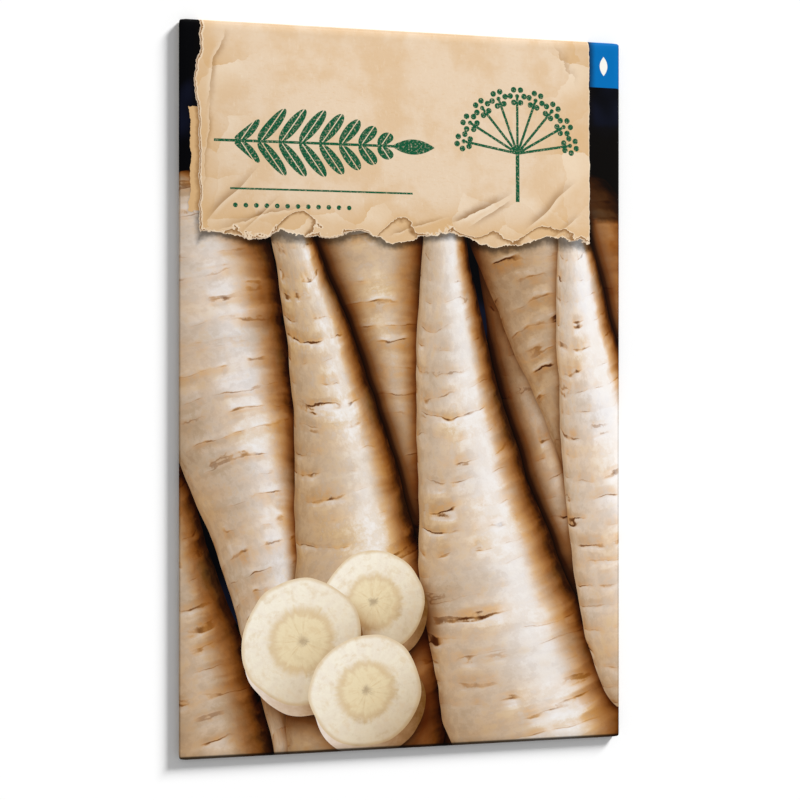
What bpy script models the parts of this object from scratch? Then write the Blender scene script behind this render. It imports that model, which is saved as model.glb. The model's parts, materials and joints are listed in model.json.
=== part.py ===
"""A sealed paper seed packet lying on its back, printed front up, with its glue lines and its seeds.

One sheet is cut to a cross-shaped net and folded: the front panel in the middle, a narrow seam flap on its
left, the back panel on its right, and a flap at each end. The back panel is glued over the seam flap, and the
two end flaps are glued over the back panel. X runs across the packet, Y up its height and Z out of its front.
The origin is on the table, under the middle of the packet.
"""

import math
import random

import bmesh
import bpy
from mathutils import Euler, Matrix, Vector

# The folded packet, in metres.
PACKET_WIDTH = 0.102
PACKET_HEIGHT = 0.160
PAPER = 0.00025
LAYER_GAP = 0.00025
SEAM_FLAP_WIDTH = 0.011
TOP_FLAP_HEIGHT = 0.019
BOTTOM_FLAP_HEIGHT = 0.013
FLAP_TAPER = 0.07
SEAM_TAPER = 0.02
BACK_EDGE_INSET = 0.0014
SIDE_RELIEF = 0.0003

# How far the filling pushes the panels apart.
FRONT_SWELL = 0.0013
BACK_SWELL = 0.00045
BACK_SWELL_HALF_WIDTH = 0.040
BACK_SWELL_HALF_HEIGHT = 0.060
BACK_SWELL_CENTRE = -0.003

# The grid that is folded.
FRONT_COLUMNS = 12
FRONT_ROWS = 18
BACK_COLUMNS = 12
FLAP_CELLS = 2
FOLD_CELLS = 4

# Glue lines: a film in the gap between two layers of paper.
GLUE_FILM = 0.00009
GLUE_END_POINTS = 5
SEAM_GLUE = (0.006, 0.140)
TOP_GLUE = (0.088, 0.011)
BOTTOM_GLUE = (0.090, 0.007)

# Seeds: flat ovals in two layers, each upper one over a gap between lower ones.
SEED_LENGTH = 0.0066
SEED_WIDTH = 0.0054
SEED_THICKNESS = 0.0008
SEED_PITCH = 0.0062
SEED_SIDES = 10
SEED_RINGS = 4
SEED_JITTER = 0.0003
SEED_TILT = math.radians(3.5)
SEED_SIZE_SPREAD = 0.07
SEED_PILE_HALF_WIDTH = 0.0195
SEED_PILE_HALF_HEIGHT = 0.0250
SEED_PILE_CENTRE = -0.006
SEED_LAYER_HEIGHTS = (0.00125, 0.00165)
SEED_DRAW = 7

# Derived levels: the middle of each layer of paper, counted up from the table.
LAYER_STEP = PAPER + LAYER_GAP
END_FLAP_LEVEL = PAPER / 2
BACK_LEVEL = END_FLAP_LEVEL + LAYER_STEP
SEAM_LEVEL = BACK_LEVEL + LAYER_STEP
FRONT_LEVEL = SEAM_LEVEL + LAYER_STEP

# Derived fold radii, each half the height that its fold turns through.
SEAM_FOLD = (FRONT_LEVEL - SEAM_LEVEL) / 2
BACK_FOLD = (FRONT_LEVEL - BACK_LEVEL) / 2
END_FOLD = (FRONT_LEVEL - END_FLAP_LEVEL) / 2

# Derived fold lines, where the flat front panel ends.
LEFT_LINE = -(PACKET_WIDTH / 2 - SEAM_FOLD - PAPER / 2)
RIGHT_LINE = PACKET_WIDTH / 2 - BACK_FOLD - PAPER / 2
END_LINE = PACKET_HEIGHT / 2 - END_FOLD - PAPER / 2
BACK_PANEL_WIDTH = RIGHT_LINE + PACKET_WIDTH / 2 - BACK_EDGE_INSET


def clear_scene():
    for obj in list(bpy.data.objects):
        bpy.data.objects.remove(obj, do_unlink=True)


def new_collection(name):
    collection = bpy.data.collections.new(name)
    bpy.context.scene.collection.children.link(collection)
    return collection


def principled(name, colour, roughness, metallic=0.0):
    material = bpy.data.materials.new(name)
    material.use_nodes = True
    shader = material.node_tree.nodes["Principled BSDF"]
    shader.inputs["Base Color"].default_value = (*colour, 1.0)
    shader.inputs["Roughness"].default_value = roughness
    shader.inputs["Metallic"].default_value = metallic
    material.diffuse_color = (*colour, 1.0)
    return material


def add_object(name, mesh, collection, material):
    obj = bpy.data.objects.new(name, mesh)
    collection.objects.link(obj)
    mesh.materials.append(material)
    return obj


def steps(start, end, cells):
    """The places that split start to end into equal cells, without the first."""
    return [start + (end - start) * i / cells for i in range(1, cells + 1)]


def net_columns():
    """Places across the flat net, from the seam flap's free edge to the back panel's."""
    seam_arc = math.pi * SEAM_FOLD
    back_arc = math.pi * BACK_FOLD
    places = [LEFT_LINE - seam_arc - SEAM_FLAP_WIDTH]
    places += steps(places[-1], LEFT_LINE - seam_arc, FLAP_CELLS)
    places += steps(places[-1], LEFT_LINE, FOLD_CELLS)
    places += steps(places[-1], RIGHT_LINE, FRONT_COLUMNS)
    places += steps(places[-1], RIGHT_LINE + back_arc, FOLD_CELLS)
    places += steps(places[-1], places[-1] + BACK_PANEL_WIDTH, BACK_COLUMNS)
    return places


def net_rows():
    """Places along the flat net, from the bottom flap's free edge to the top flap's."""
    arc = math.pi * END_FOLD
    places = [-END_LINE - arc - BOTTOM_FLAP_HEIGHT]
    places += steps(places[-1], -END_LINE - arc, FLAP_CELLS)
    places += steps(places[-1], -END_LINE, FOLD_CELLS)
    places += steps(places[-1], END_LINE, FRONT_ROWS)
    places += steps(places[-1], END_LINE + arc, FOLD_CELLS)
    places += steps(places[-1], places[-1] + TOP_FLAP_HEIGHT, FLAP_CELLS)
    return places


def fold(past, radius):
    """How far out and how far down a point lies that is this far past a fold line."""
    if past < math.pi * radius:
        angle = past / radius
        return radius * math.sin(angle), radius * (1 - math.cos(angle))
    return math.pi * radius - past, 2 * radius


def front_swell(x, y):
    """Height of the pillow that the seeds make of the front panel, nothing at its edges."""
    across = 1 - abs(2 * x / PACKET_WIDTH) ** 3
    along = 1 - abs(2 * y / PACKET_HEIGHT) ** 3.5
    return FRONT_SWELL * max(0.0, across) * max(0.0, along)


def back_swell(x, y):
    """Depth of the back panel's pillow, which stays clear of the glued edges."""
    across = 1 - (x / BACK_SWELL_HALF_WIDTH) ** 4
    along = 1 - ((y - BACK_SWELL_CENTRE) / BACK_SWELL_HALF_HEIGHT) ** 4
    return BACK_SWELL * max(0.0, across) * max(0.0, along)


def folded_end(across, along):
    """A point of the top or bottom flap, whose sides run in towards its free edge."""
    way = math.copysign(1.0, along)
    past = abs(along) - END_LINE
    out, down = fold(past, END_FOLD)
    onto_back = max(0.0, -out)
    x = across * (1 - FLAP_TAPER * onto_back / TOP_FLAP_HEIGHT)
    return Vector((x, way * (END_LINE + out), FRONT_LEVEL - down))


def folded_side(across, along):
    """A point of the seam flap, on the left, or of the back panel, on the right."""
    on_left = across < LEFT_LINE
    radius = SEAM_FOLD if on_left else BACK_FOLD
    past = LEFT_LINE - across if on_left else across - RIGHT_LINE
    out, down = fold(past, radius)
    relief = SIDE_RELIEF * min(1.0, past / radius)
    y = along * (1 - relief / END_LINE)
    if on_left:
        y *= 1 - SEAM_TAPER * max(0.0, -out) / SEAM_FLAP_WIDTH
        return Vector((LEFT_LINE - out, y, FRONT_LEVEL - down))
    x = RIGHT_LINE + out
    return Vector((x, y, FRONT_LEVEL - down - (back_swell(x, y) if out < 0 else 0.0)))


def folded(across, along):
    """Where a point of the flat net lies once the packet is folded."""
    if abs(along) > END_LINE:
        return folded_end(across, along)
    if across < LEFT_LINE or across > RIGHT_LINE:
        return folded_side(across, along)
    return Vector((across, along, FRONT_LEVEL + front_swell(across, along)))


def paper_envelope(collection, material):
    """The folded sheet: a grid whose four corners are cut away, folded point by point and thickened."""
    columns = net_columns()
    rows = net_rows()
    first_column = FLAP_CELLS + FOLD_CELLS
    last_column = first_column + FRONT_COLUMNS
    first_row = FLAP_CELLS + FOLD_CELLS
    last_row = first_row + FRONT_ROWS
    net = bmesh.new()
    bmesh.ops.create_grid(net, x_segments=len(columns) - 1, y_segments=len(rows) - 1, size=0.5)
    cut_away = []
    for vertex in net.verts:
        i = round((vertex.co.x + 0.5) * (len(columns) - 1))
        j = round((vertex.co.y + 0.5) * (len(rows) - 1))
        beside = i < first_column or i > last_column
        beyond = j < first_row or j > last_row
        if beside and beyond:
            cut_away.append(vertex)
        else:
            vertex.co = folded(columns[i], rows[j])
    bmesh.ops.delete(net, geom=cut_away, context="VERTS")
    bmesh.ops.recalc_face_normals(net, faces=net.faces)
    mesh = bpy.data.meshes.new("paper_envelope")
    net.to_mesh(mesh)
    net.free()
    envelope = add_object("paper_envelope", mesh, collection, material)
    wall = envelope.modifiers.new("paper", "SOLIDIFY")
    wall.thickness = PAPER
    wall.offset = 0.0
    return envelope


def strip_outline(width, height):
    """Corners of a strip whose two short ends are round."""
    radius = min(width, height) / 2
    upright = height > width
    reach = (height if upright else width) / 2 - radius
    points = []
    for end in (0, 1):
        for step in range(GLUE_END_POINTS + 1):
            angle = math.pi * (end + step / GLUE_END_POINTS)
            side = radius * math.cos(angle)
            tip = radius * math.sin(angle) + (reach if end == 0 else -reach)
            points.append((side, tip) if upright else (tip, -side))
    return points


def glue_line(name, size, centre, collection, material):
    """A flat film of adhesive, lying in the gap between two layers of paper."""
    curve = bpy.data.curves.new(name, "CURVE")
    curve.dimensions = "2D"
    curve.fill_mode = "BOTH"
    curve.extrude = GLUE_FILM / 2
    outline = curve.splines.new("POLY")
    points = strip_outline(*size)
    outline.points.add(len(points) - 1)
    for point, (x, y) in zip(outline.points, points):
        point.co = (x, y, 0.0, 1.0)
    outline.use_cyclic_u = True
    film = bpy.data.objects.new(name, curve)
    curve.materials.append(material)
    film.location = centre
    collection.objects.link(film)
    return film


def glue_lines(collection, material):
    """The three films that hold the packet shut: its side seam, its bottom flap and its top flap."""
    seam_x = -PACKET_WIDTH / 2 + BACK_EDGE_INSET + 0.001 + SEAM_GLUE[0] / 2
    seam_z = (BACK_LEVEL + SEAM_LEVEL) / 2
    end_z = (END_FLAP_LEVEL + BACK_LEVEL) / 2
    top_y = END_LINE - TOP_FLAP_HEIGHT + 0.002 + TOP_GLUE[1] / 2
    bottom_y = -(END_LINE - BOTTOM_FLAP_HEIGHT + 0.002 + BOTTOM_GLUE[1] / 2)
    glue_line("glue_side_seam", SEAM_GLUE, (seam_x, 0.0, seam_z), collection, material)
    glue_line("glue_top_flap", TOP_GLUE, (0.0, top_y, end_z), collection, material)
    glue_line("glue_bottom_flap", BOTTOM_GLUE, (0.0, bottom_y, end_z), collection, material)


def seed_places():
    """Centres of the seeds: two layers of one triangular pattern, inside an oval."""
    row_pitch = SEED_PITCH * math.sqrt(3) / 2
    reach = math.ceil(SEED_PILE_HALF_HEIGHT / row_pitch) + 1
    for layer, height in enumerate(SEED_LAYER_HEIGHTS):
        for row in range(-reach, reach + 1):
            for column in range(-reach, reach + 1):
                x = (column + row / 2) * SEED_PITCH
                y = row * row_pitch + layer * SEED_PITCH / math.sqrt(3)
                if math.hypot(x / SEED_PILE_HALF_WIDTH, y / SEED_PILE_HALF_HEIGHT) < 1:
                    yield Vector((x, y + SEED_PILE_CENTRE, height))


def seed_mesh(draw, place):
    """One flat oval seed with a thin rim, turned and tilted a little at random."""
    size = 1 + draw.uniform(-SEED_SIZE_SPREAD, SEED_SIZE_SPREAD)
    tilt = (draw.uniform(-SEED_TILT, SEED_TILT), draw.uniform(-SEED_TILT, SEED_TILT))
    turn = Euler((*tilt, draw.uniform(0, math.pi))).to_matrix().to_4x4()
    shift = Vector((draw.uniform(-SEED_JITTER, SEED_JITTER), draw.uniform(-SEED_JITTER, SEED_JITTER), 0))
    oval = Matrix.Diagonal((SEED_LENGTH / 2 * size, SEED_WIDTH / 2 * size, SEED_THICKNESS / 2, 1))
    body = bmesh.new()
    bmesh.ops.create_uvsphere(body, u_segments=SEED_SIDES, v_segments=SEED_RINGS, radius=1.0)
    bmesh.ops.transform(body, matrix=Matrix.Translation(place + shift) @ turn @ oval, verts=body.verts)
    mesh = bpy.data.meshes.new("seed")
    body.to_mesh(mesh)
    body.free()
    return mesh


def seeds(collection, material):
    """The seeds as they lie, joined where they touch into one body."""
    draw = random.Random(SEED_DRAW)
    others = new_collection("seeds_to_join")
    pile = None
    for place in seed_places():
        mesh = seed_mesh(draw, place)
        if pile is None:
            pile = add_object("seeds", mesh, collection, material)
        else:
            others.objects.link(bpy.data.objects.new("seed", mesh))
    join = pile.modifiers.new("join", "BOOLEAN")
    join.operation = "UNION"
    join.operand_type = "COLLECTION"
    join.collection = others
    join.solver = "MANIFOLD"
    graph = bpy.context.evaluated_depsgraph_get()
    joined = bpy.data.meshes.new_from_object(pile.evaluated_get(graph))
    pile.modifiers.clear()
    pile.data = joined
    for obj in list(others.objects):
        bpy.data.objects.remove(obj, do_unlink=True)
    bpy.data.collections.remove(others)
    return pile


def build():
    clear_scene()
    packet = new_collection("seed_packet")
    paper = principled("printed_paper", (0.80, 0.69, 0.53), 0.55)
    adhesive = principled("dried_adhesive", (0.86, 0.83, 0.74), 0.35)
    husk = principled("seed_husk", (0.56, 0.42, 0.24), 0.75)
    paper_envelope(packet, paper)
    glue_lines(packet, adhesive)
    seeds(packet, husk)


build()
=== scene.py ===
import json
import math
import random
from functools import partial

import bmesh
import bpy
from bpy.props import FloatProperty, FloatVectorProperty, IntProperty, PointerProperty
from mathutils import Euler, Matrix, Vector, noise

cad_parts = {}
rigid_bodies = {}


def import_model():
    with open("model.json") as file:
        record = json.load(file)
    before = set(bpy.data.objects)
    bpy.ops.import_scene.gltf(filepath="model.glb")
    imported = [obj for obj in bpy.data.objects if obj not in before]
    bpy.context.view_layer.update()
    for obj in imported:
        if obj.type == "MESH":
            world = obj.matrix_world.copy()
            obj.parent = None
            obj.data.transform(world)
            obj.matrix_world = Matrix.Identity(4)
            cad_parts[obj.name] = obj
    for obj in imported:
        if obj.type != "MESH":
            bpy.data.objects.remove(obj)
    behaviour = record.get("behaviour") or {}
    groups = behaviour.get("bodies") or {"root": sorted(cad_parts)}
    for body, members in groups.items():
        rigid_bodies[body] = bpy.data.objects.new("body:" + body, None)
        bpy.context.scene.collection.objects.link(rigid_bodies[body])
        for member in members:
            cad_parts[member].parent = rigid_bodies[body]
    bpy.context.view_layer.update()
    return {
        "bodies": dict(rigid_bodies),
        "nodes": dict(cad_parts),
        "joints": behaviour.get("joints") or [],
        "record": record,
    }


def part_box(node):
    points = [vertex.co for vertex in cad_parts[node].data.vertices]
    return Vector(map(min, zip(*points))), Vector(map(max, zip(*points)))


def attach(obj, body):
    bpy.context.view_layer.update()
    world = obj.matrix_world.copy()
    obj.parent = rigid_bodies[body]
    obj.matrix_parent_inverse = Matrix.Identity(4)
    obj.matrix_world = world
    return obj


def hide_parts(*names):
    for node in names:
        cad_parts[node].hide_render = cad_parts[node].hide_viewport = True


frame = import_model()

bl_info = {
    "name": "Seed packet",
    "version": (1, 0, 0),
    "blender": (4, 5, 0),
    "location": "View3D > Sidebar > Seed packet",
    "description": "Folds, prints and lights a sealed paper seed packet",
    "category": "Object",
}

ENVELOPE_LOW, ENVELOPE_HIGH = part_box("paper_envelope")
MM = 0.001
NO_TURN = (0.0, 0.0, 0.0)
LIFE_SIZE = (1.0, 1.0, 1.0)


def srgb(red, green, blue):
    """A screen colour of 0 to 255 a channel, as the linear colour that a shader takes."""
    shares = (channel / 255 for channel in (red, green, blue))
    return tuple(c / 12.92 if c <= 0.04045 else ((c + 0.055) / 1.055) ** 2.4 for c in shares)


def length(name, default, description):
    return FloatProperty(
        name=name, default=default, description=description, min=0.0, precision=5, unit="LENGTH"
    )


def colour(name, default, description):
    return FloatVectorProperty(
        name=name, default=default, description=description, min=0.0, max=1.0, subtype="COLOR"
    )


def share(name, default, description):
    return FloatProperty(
        name=name, default=default, description=description, min=0.0, max=1.0, subtype="FACTOR"
    )


class PacketSheet(bpy.types.PropertyGroup):
    """Sizes of the paper that the packet is folded from, and the colour of its glue."""

    width: length("Width", ENVELOPE_HIGH.x - ENVELOPE_LOW.x, "Width of the sealed packet")
    height: length("Height", ENVELOPE_HIGH.y - ENVELOPE_LOW.y, "Height of the sealed packet")
    paper: length("Paper", 0.00025, "Thickness of the paper")
    layer_gap: length("Layer gap", 0.00025, "Room for glue between two layers of paper")
    seam_flap: length("Seam flap", 0.011, "Width of the flap under the side seam")
    top_flap: length("Top flap", 0.019, "Height of the flap at the top")
    bottom_flap: length("Bottom flap", 0.013, "Height of the flap at the bottom")
    back_inset: length("Back inset", 0.0014, "How far the back panel's edge stays from the fold")
    side_relief: length("Side relief", 0.0003, "How much shorter the back panel is at each end")
    corner_radius: length("Corner radius", 0.0009, "Rounding of the packet's four corners")
    front_swell: length("Front swell", 0.00122, "How far the filling lifts the front panel")
    back_swell: length("Back swell", 0.00045, "How far the filling lowers the back panel")
    ripple: length("Ripple", 0.00006, "Height of the paper's slow waves")
    flap_taper: share("Flap taper", 0.07, "Share by which an end flap narrows")
    seam_taper: share("Seam taper", 0.02, "Share by which the seam flap shortens")
    cell: length("Cell", 0.0012, "Size of one cell of the folded sheet")
    fold_cells: IntProperty(name="Fold cells", default=10, description="Cells round one fold")
    glue: colour("Glue", srgb(226, 214, 182), "Dried glue between the layers")


class PacketPrint(bpy.types.PropertyGroup):
    """Colours and sizes of what is printed on the paper."""

    kraft: colour("Kraft", srgb(221, 198, 171), "Pale kraft brown of the label")
    kraft_deep: colour("Deep kraft", srgb(208, 170, 122), "Darker clouds and folds of the label")
    kraft_core: colour("Torn core", srgb(238, 224, 203), "Pale core of the label's torn edge")
    kraft_fold: colour("Fold shadow", srgb(140, 98, 54), "Shadow in the label's creases")
    ink: colour("Ink", srgb(16, 84, 54), "Dark green stamped ink")
    tab: colour("Tab", srgb(0, 106, 176), "Blue tab in the top corner")
    ground: colour("Ground", srgb(2, 2, 4), "Near-black ground of the picture")
    ground_glow: colour("Ground glow", srgb(12, 15, 30), "Navy hints in the ground")
    skin: colour("Skin", srgb(226, 211, 198), "Cream skin of the roots")
    skin_pale: colour("Pale skin", srgb(228, 226, 228), "Palest patches of the skin")
    skin_tan: colour("Tan skin", srgb(208, 178, 132), "Tan patches of the skin")
    skin_gold: colour("Golden skin", srgb(216, 160, 84), "Skin where it turns away from the light")
    scar: colour("Scars", srgb(96, 54, 24), "Brown slits in the skin")
    flesh: colour("Flesh", srgb(240, 232, 214), "Cut face of a slice")
    core: colour("Core", srgb(232, 214, 172), "Core of a slice")
    bare_paper: colour("Bare paper", srgb(238, 236, 229), "Unprinted side of the paper")
    roughness: share("Roughness", 0.52, "Roughness of the coated side")


class PacketSeeds(bpy.types.PropertyGroup):
    """Sizes and colours of the seeds, and of the pile that they lie in."""

    long: length("Seed length", 0.0066, "Length of a seed")
    wide: length("Seed width", 0.0054, "Width of a seed")
    thick: length("Seed thickness", 0.0008, "Thickness of a seed in its middle")
    pitch: length("Pitch", 0.0062, "From seed to seed in a layer")
    jitter: length("Jitter", 0.0003, "How far a seed lies from its place in the pattern")
    pile_width: length("Pile width", 0.039, "Width of the oval pile")
    pile_height: length("Pile height", 0.050, "Height of the oval pile")
    pile_drop: length("Pile drop", 0.006, "How far the pile has slid down the packet")
    lower_layer: length("Lower layer", 0.00125, "Height of the lower layer's middle")
    upper_layer: length("Upper layer", 0.00165, "Height of the upper layer's middle")
    tilt: FloatProperty(
        name="Tilt", default=math.radians(3.5), subtype="ANGLE", description="Largest tilt of a seed"
    )
    spread: share("Size spread", 0.07, "Share by which seeds differ in size")
    draw: IntProperty(name="Draw", default=7, description="Number that the random places start from")
    husk: colour("Husk", srgb(172, 134, 84), "Dry brown husk")
    wing: colour("Wing", srgb(206, 176, 126), "Paler thin rim")
    oil_line: colour("Oil lines", srgb(92, 60, 30), "Dark lines between the ribs")


class PacketStage(bpy.types.PropertyGroup):
    """The camera, the floor and the lights."""

    turn: FloatProperty(
        name="Turn", default=math.radians(-15.7), subtype="ANGLE", description="Camera's turn about +Y"
    )
    distance: length("Distance", 0.3998, "Camera's distance from the middle of the front")
    lens: FloatProperty(
        name="Lens", default=80.7, unit="CAMERA", description="Focal length on a 36 mm sensor"
    )
    aim_right: FloatProperty(
        name="Aim right", default=-0.00155, unit="LENGTH", description="Aim's place beside the middle"
    )
    aim_up: FloatProperty(
        name="Aim up", default=-0.0023, unit="LENGTH", description="Aim's place above the middle"
    )
    floor: colour("Floor", (0.93, 0.93, 0.93), "Plain pale floor")
    sky: FloatProperty(name="Sky", default=0.44, description="Strength of the even light")
    key: FloatProperty(name="Key", default=5.95, description="Strength of the soft key light")
    key_spread: FloatProperty(
        name="Key spread", default=math.radians(16), subtype="ANGLE", description="Softness of the key"
    )


class Wire:
    """One output of a node, for use in sums: each operation adds its Math node."""

    def __init__(self, socket):
        self.socket = socket

    @staticmethod
    def node(tree, kind, settings, sockets, output=0):
        """Adds a node: its settings first, then the numbers, colours or links of its sockets."""
        made = tree.nodes.new(kind)
        for name, value in settings.items():
            if name == "stops":
                set_stops(made.color_ramp, value)
            elif name == "interpolation" and kind == "ShaderNodeValToRGB":
                made.color_ramp.interpolation = value
            else:
                setattr(made, name, value)
        for name, value in sockets.items():
            if isinstance(value, Wire):
                tree.links.new(value.socket, made.inputs[name])
            else:
                made.inputs[name].default_value = value
        return Wire(made.outputs[output])

    def math(self, operation, *others, first=None, clamp=False):
        values = [self if first is None else first, *others]
        settings = {"operation": operation, "use_clamp": clamp}
        return Wire.node(self.socket.id_data, "ShaderNodeMath", settings, dict(enumerate(values)))

    def __add__(self, other):
        return self.math("ADD", other)

    def __radd__(self, other):
        return self.math("ADD", other)

    def __sub__(self, other):
        return self.math("SUBTRACT", other)

    def __rsub__(self, other):
        return self.math("SUBTRACT", self, first=other)

    def __mul__(self, other):
        return self.math("MULTIPLY", other)

    def __rmul__(self, other):
        return self.math("MULTIPLY", other)

    def __truediv__(self, other):
        return self.math("DIVIDE", other)

    def __rtruediv__(self, other):
        return self.math("DIVIDE", self, first=other)

    def __lt__(self, other):
        return self.math("LESS_THAN", other)

    def __gt__(self, other):
        return self.math("GREATER_THAN", other)

    def __abs__(self):
        return self.math("ABSOLUTE")

    def __neg__(self):
        return self.math("MULTIPLY", -1.0)

    def clamped(self):
        return self.math("ADD", 0.0, clamp=True)

    def least(self, other):
        return self.math("MINIMUM", other)

    def most(self, other):
        return self.math("MAXIMUM", other)

    def root(self):
        return self.math("SQRT")

    def fract(self):
        return self.math("FRACT")

    def rise(self, start, end):
        """0 before start and 1 after end, smooth between them; end may lie below start."""
        settings = {"interpolation_type": "SMOOTHSTEP"}
        sockets = {"Value": self, "From Min": start, "From Max": end}
        return Wire.node(self.socket.id_data, "ShaderNodeMapRange", settings, sockets)


def set_stops(ramp, stops):
    """Gives a colour ramp its stops, each a place and a colour."""
    while len(ramp.elements) < len(stops):
        ramp.elements.new(1.0)
    for element, (place, tint) in zip(ramp.elements, stops):
        element.position = place
        element.color = (*tint, 1.0)


# The kind of socket that a node group gets for each kind of wire.
GROUP_SOCKETS = {"VALUE": "NodeSocketFloat", "VECTOR": "NodeSocketVector", "RGBA": "NodeSocketColor"}


class Group:
    """A node group: a part of a material that is built once and used wherever it is called."""

    def __init__(self, name, build, vectors=("place",), values=()):
        """build takes a wire for each vector and value, and gives one for each name that comes out."""
        self.tree = bpy.data.node_groups.new(name, "ShaderNodeTree")
        kinds = {**dict.fromkeys(vectors, "VECTOR"), **dict.fromkeys(values, "VALUE")}
        for socket_name, kind in kinds.items():
            self.add_socket(socket_name, "INPUT", kind)
        start = self.tree.nodes.new("NodeGroupInput")
        made = build(**{socket_name: Wire(start.outputs[socket_name]) for socket_name in kinds})
        end = self.tree.nodes.new("NodeGroupOutput")
        for socket_name, wire in made.items():
            self.add_socket(socket_name, "OUTPUT", wire.socket.type)
            self.tree.links.new(wire.socket, end.inputs[socket_name])

    def add_socket(self, name, way, kind):
        self.tree.interface.new_socket(name, in_out=way, socket_type=GROUP_SOCKETS[kind])

    def use(self, **values):
        """Adds the group to the tree of its inputs, and gives a wire for each thing that comes out."""
        tree = tree_of(*values.values())
        first = Wire.node(tree, "ShaderNodeGroup", {"node_tree": self.tree}, values)
        wires = tuple(Wire(socket) for socket in first.socket.node.outputs)
        return wires if len(wires) > 1 else wires[0]


def tree_of(*values):
    """The node tree of the first wire among some values."""
    return next(value for value in values if isinstance(value, Wire)).socket.id_data


def ramp_of(value, stops, interpolation="LINEAR"):
    settings = {"interpolation": interpolation, "stops": stops}
    return Wire.node(tree_of(value), "ShaderNodeValToRGB", settings, {"Fac": value})


def vector(x, y, z=0.0):
    return Wire.node(tree_of(x, y, z), "ShaderNodeCombineXYZ", {}, {"X": x, "Y": y, "Z": z})


def split(wire):
    """The three numbers of a vector or a colour."""
    first = Wire.node(tree_of(wire), "ShaderNodeSeparateXYZ", {}, {"Vector": wire})
    return tuple(Wire(socket) for socket in first.socket.node.outputs)


def span(x, y):
    """The distance of a place from zero."""
    settings = {"operation": "LENGTH"}
    place = vector(x, y)
    return Wire.node(tree_of(place), "ShaderNodeVectorMath", settings, {0: place}, output=1)


def share_of(wire, parts):
    """The sum of a vector's numbers, each times its part."""
    settings = {"operation": "DOT_PRODUCT"}
    return Wire.node(tree_of(wire), "ShaderNodeVectorMath", settings, {0: wire, 1: parts}, output=1)


def strength_of(value, stops):
    """A strength from a table of places and strengths, smooth between them."""
    table = ramp_of(value, [(place, (strength,) * 3) for place, strength in stops], "B_SPLINE")
    return share_of(table, (1.0, 0.0, 0.0))


def moved(place, centre):
    """A place measured from a centre."""
    settings = {"operation": "SUBTRACT"}
    return Wire.node(tree_of(place), "ShaderNodeVectorMath", settings, {0: place, 1: centre})


def placed(place, centre, turn=NO_TURN, size=LIFE_SIZE):
    """The numbers of a place measured from a centre, along turned axes, in sizes of its own."""
    sockets = {"Vector": place, "Location": centre, "Rotation": turn, "Scale": size}
    settings = {"vector_type": "TEXTURE"}
    return split(Wire.node(tree_of(place), "ShaderNodeMapping", settings, sockets))[:2]


def between(value, low, high):
    """1 where a value lies between two others, and 0 elsewhere."""
    return (value > low) * (value < high)


def blend(factor, first, second, how="MIX"):
    """A mix of two colours."""
    tints = [c if isinstance(c, Wire) else (*c, 1.0) for c in (first, second)]
    settings = {"data_type": "RGBA", "blend_type": how}
    sockets = {0: factor, 6: tints[0], 7: tints[1]}
    return Wire.node(tree_of(factor, *tints), "ShaderNodeMix", settings, sockets, output=2)


def choose(factor, first, second):
    """One of two vectors, by a factor of 0 or 1."""
    sockets = {0: factor, 4: first, 5: second}
    return Wire.node(tree_of(factor), "ShaderNodeMix", {"data_type": "VECTOR"}, sockets, output=1)


def cloud(place, scale, detail=2.0, roughness=0.5, dimensions="3D", output=0):
    """A noise of about 0.5, with features 1 / scale across; output 1 gives three at once."""
    sockets = {"Vector": place, "Scale": scale, "Detail": detail, "Roughness": roughness}
    settings = {"noise_dimensions": dimensions}
    return Wire.node(tree_of(place), "ShaderNodeTexNoise", settings, sockets, output)


def cells(place, scale=1.0):
    """Random numbers of the cell that a place lies in, and the point of that cell."""
    settings = {"voronoi_dimensions": "2D"}
    sockets = {"Vector": place, "Scale": scale}
    chance = Wire.node(tree_of(place), "ShaderNodeTexVoronoi", settings, sockets, output=1)
    return split(chance), split(Wire(chance.socket.node.outputs[2]))


# The front's pillow: how flat it is across and along, and how near an edge its waves fade out.
PILLOW_POWERS = (3, 3.5)
WAVE_RATES = (45, 30)
WAVE_FADE = 0.004

# The back's pillow: its half-width and half-height, how flat it is and how low it lies.
BACK_PILLOW = (0.040, 0.060)
BACK_PILLOW_POWER = 4
BACK_PILLOW_DROP = 0.003

# How far from its free edge a glued layer starts to bend, and the share of the gap that it closes.
PRESS_REACH = 0.0026
PRESS_SHARE = 0.9


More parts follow.
